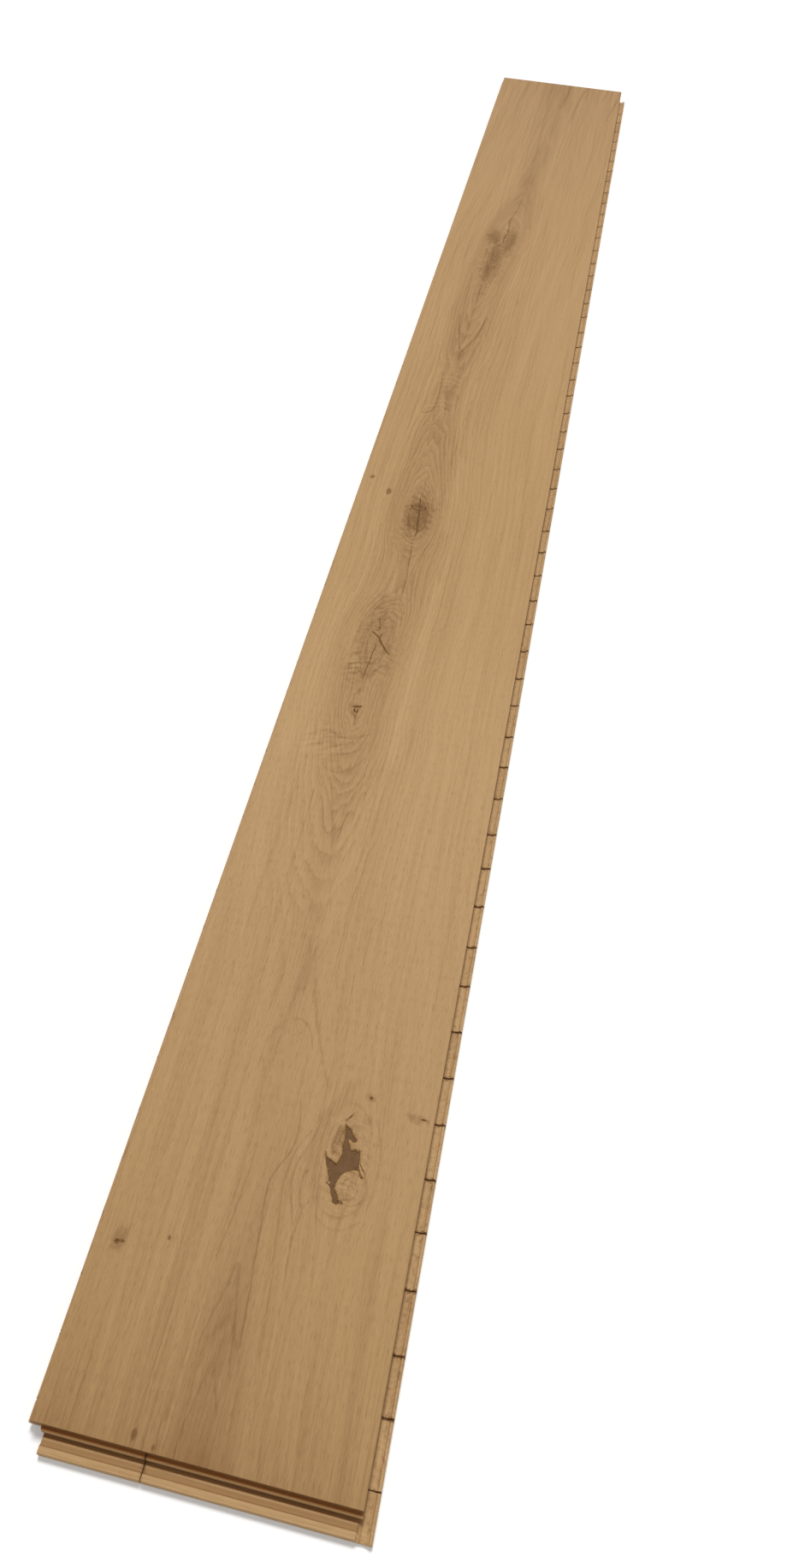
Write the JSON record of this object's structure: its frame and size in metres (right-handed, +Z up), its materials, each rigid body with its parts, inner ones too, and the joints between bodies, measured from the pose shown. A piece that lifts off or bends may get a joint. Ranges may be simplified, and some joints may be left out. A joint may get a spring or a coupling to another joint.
{
  "type": "engineered oak floorboard",
  "caption": "Three-layer oak floorboard with a knotty sawn oak face, crosswise core slats and locking lips, a tongue and grooves along its four edges.",
  "frame": {"origin": "on the underside, below the middle of the 190 x 1900 mm oak face", "axes": "+X across the board towards the lip edge, +Y along the board away from the lip end, +Z up out of the oak face"},
  "size_m": [0.1996, 1.9129, 0.014],
  "materials": {
    "oak": "brushed and matt oiled",
    "core_softwood": "planed, raw",
    "backing_softwood": "peeled veneer, raw"
  },
  "bodies": {
    "root": {"oak_face": "oak", "core_slats": "core_softwood", "end_slat_front_left": "core_softwood", "end_slat_front_right": "core_softwood", "end_slat_back": "core_softwood", "backing_veneer": "backing_softwood"}
  },
  "joints": []
}
